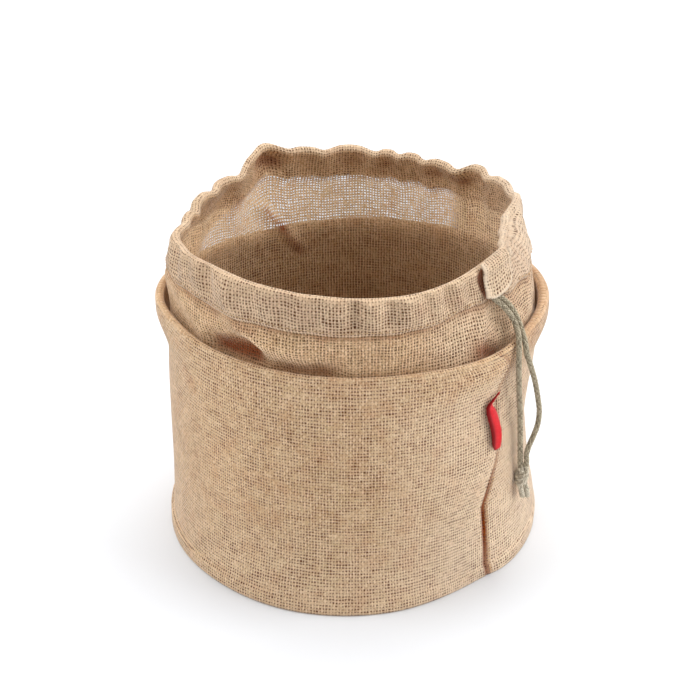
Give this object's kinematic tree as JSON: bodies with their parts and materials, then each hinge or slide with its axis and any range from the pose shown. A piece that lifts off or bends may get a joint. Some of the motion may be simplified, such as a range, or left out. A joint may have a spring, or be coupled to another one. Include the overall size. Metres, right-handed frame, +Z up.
{
  "type": "vegetable storage bag",
  "caption": "Free-standing round jute bag for vegetables: a stiff sleeve on a base holds a loose inner sac with a gathered drawstring casing at its mouth.",
  "frame": {"origin": "middle of the underside of the base", "axes": "+Z up through the mouth; -Y is the front; +X is the viewer's right, where the drawstring hangs"},
  "size_m": [0.2498, 0.2524, 0.2226],
  "materials": {
    "jute_sleeve": "plain-woven jute, doubled, matt",
    "jute_sac": "open plain-woven jute, single, matt",
    "red_tape": "satin-woven tape, slightly shiny",
    "grey_cord": "round braided cord, grey-beige, matt"
  },
  "bodies": {
    "root": {"base": "jute_sleeve", "sleeve": "jute_sleeve", "sac": "jute_sac", "casing_end": "jute_sac", "label": "red_tape", "cord_left": "grey_cord", "cord_right": "grey_cord", "knot": "grey_cord"}
  },
  "joints": []
}
